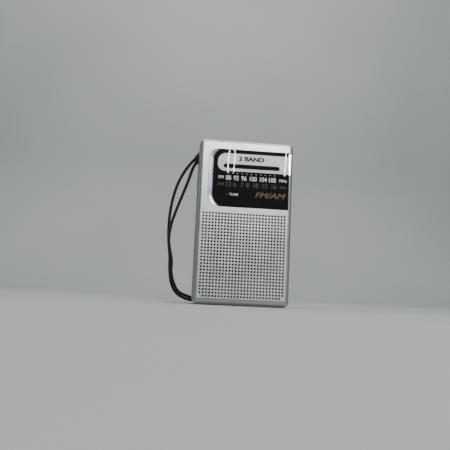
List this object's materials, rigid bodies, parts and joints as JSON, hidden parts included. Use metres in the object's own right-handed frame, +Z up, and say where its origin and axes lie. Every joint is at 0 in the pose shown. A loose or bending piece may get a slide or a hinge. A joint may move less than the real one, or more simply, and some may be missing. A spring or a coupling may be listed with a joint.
{
  "type": "transistor pocket radio",
  "caption": "Upright pocket transistor radio with a perforated grille, slide-rule dial, side thumbwheels, telescopic aerial, battery door and wrist strap.",
  "frame": {"origin": "centre of the base, on the surface the radio stands on, at the middle of the case depth", "axes": "+Z up along the case, front and grille face -Y, +X to the right seen from the front"},
  "size_m": [0.0901, 0.0539, 0.119],
  "materials": {
    "case_paint": "silver painted plastic, satin, lightly scuffed",
    "panel_paint": "brighter silver painted plastic, satin",
    "clear_lens": "clear plastic dial lens, glossy",
    "band_print": "pale metallic print",
    "black_plate": "black printed dial plate",
    "white_plastic": "natural moulded plastic",
    "dark_plastic": "dark grey moulded plastic",
    "black_plastic": "black moulded plastic",
    "wheel_plastic": "silver grey plastic, notched rim",
    "sleeve_plastic": "dark blue shrink sleeve",
    "filter_plastic": "orange dipped resin",
    "lamp_plastic": "red lamp body",
    "steel": "plated steel",
    "cell_steel": "printed steel jacket",
    "aluminium": "drawn can",
    "chrome": "bright plated tube",
    "phenolic": "brown phenolic board",
    "ferrite": "sintered ferrite, matt",
    "coil_wire": "enamelled copper wire, varnished",
    "cone_paper": "black pulp",
    "cloth": "black dust cloth",
    "cord_thread": "waxed thread",
    "braid": "black braided cord"
  },
  "bodies": {
    "case": {"front_shell": "case_paint", "rear_shell": "case_paint", "front_panel": "panel_paint", "window_trim": "panel_paint", "dial_lens": "clear_lens", "dial_band": "band_print", "dial_scale": "black_plate", "pointer_rail": "steel", "dial_cord": "cord_thread", "cord_posts": "white_plastic", "tuning_capacitor": "white_plastic", "volume_control": "phenolic", "band_switch_body": "steel", "circuit_board": "phenolic", "radio_chip": "black_plastic", "coil_cans": "aluminium", "electrolytic_capacitors": "sleeve_plastic", "ceramic_filters": "filter_plastic", "ferrite_rod": "ferrite", "ferrite_coil": "coil_wire", "ferrite_holders": "white_plastic", "speaker_cloth": "cloth", "speaker_frame": "steel", "speaker_cone": "cone_paper", "speaker_magnet": "ferrite", "speaker_screws": "steel", "tune_lamp": "lamp_plastic", "earphone_jack": "black_plastic", "door_hinge_pin": "steel", "upper_cell": "cell_steel", "lower_cell": "cell_steel", "battery_springs": "steel", "battery_plates": "steel", "case_screws": "steel", "board_screws": "steel", "strap_anchor": "black_plastic", "wrist_strap": "braid"},
    "tuning_dial": {"tuning_wheel": "wheel_plastic", "tuning_screw": "steel"},
    "dial_carriage": {"pointer_carriage": "dark_plastic", "dial_pointer": "white_plastic"},
    "volume_dial": {"volume_wheel": "wheel_plastic", "volume_screw": "steel"},
    "band_switch": {"band_switch_knob": "dark_plastic"},
    "battery_cover": {"battery_door": "case_paint"},
    "antenna_pivot": {"antenna_base": "chrome", "antenna_base_screw": "steel", "antenna_knuckle_pin": "steel"},
    "antenna_stage_1": {"antenna_tube_1": "chrome"},
    "antenna_stage_2": {"antenna_tube_2": "chrome"},
    "antenna_stage_3": {"antenna_tube_3": "chrome"},
    "antenna_stage_4": {"antenna_tube_4": "chrome"},
    "antenna_stage_5": {"antenna_tube_5": "chrome", "antenna_tip": "chrome"}
  },
  "joints": [
    {"name": "tuning_turn", "type": "hinge", "parent": "case", "child": "tuning_dial", "pos_m": [0.02105, -0.0075, 0.087], "axis": [0, 1, 0], "range_deg": [0, 180]},
    {"name": "pointer_travel", "type": "slide", "parent": "case", "child": "dial_carriage", "axis": [1, 0, 0], "range_m": [0, 0.0334]},
    {"name": "volume_turn", "type": "hinge", "parent": "case", "child": "volume_dial", "pos_m": [-0.02105, -0.0075, 0.087], "axis": [0, 1, 0], "range_deg": [0, 300]},
    {"name": "band_select", "type": "slide", "parent": "case", "child": "band_switch", "axis": [0, 0, 1], "range_m": [-0.004, 0]},
    {"name": "battery_door_swing", "type": "hinge", "parent": "case", "child": "battery_cover", "pos_m": [0, 0.0142, 0.0044], "axis": [-1, 0, 0], "range_deg": [0, 90]},
    {"name": "antenna_lift", "type": "hinge", "parent": "case", "child": "antenna_pivot", "pos_m": [0.02975, 0.0126, 0.1152], "axis": [0, 1, 0], "range_deg": [0, 180]},
    {"name": "antenna_tilt", "type": "hinge", "parent": "antenna_pivot", "child": "antenna_stage_1", "pos_m": [0.02975, 0.0126, 0.1152], "axis": [0, 0, -1], "range_deg": [0, 90]},
    {"name": "antenna_slide_2", "type": "slide", "parent": "antenna_stage_1", "child": "antenna_stage_2", "axis": [-1, 0, 0], "range_m": [0, 0.045]},
    {"name": "antenna_slide_3", "type": "slide", "parent": "antenna_stage_2", "child": "antenna_stage_3", "axis": [-1, 0, 0], "range_m": [0, 0.045]},
    {"name": "antenna_slide_4", "type": "slide", "parent": "antenna_stage_3", "child": "antenna_stage_4", "axis": [-1, 0, 0], "range_m": [0, 0.045]},
    {"name": "antenna_slide_5", "type": "slide", "parent": "antenna_stage_4", "child": "antenna_stage_5", "axis": [-1, 0, 0], "range_m": [0, 0.045]}
  ],
  "couplings": [
    {"joint": "pointer_travel", "follows": "tuning_turn", "m_per_rad": 0.0106}
  ]
}
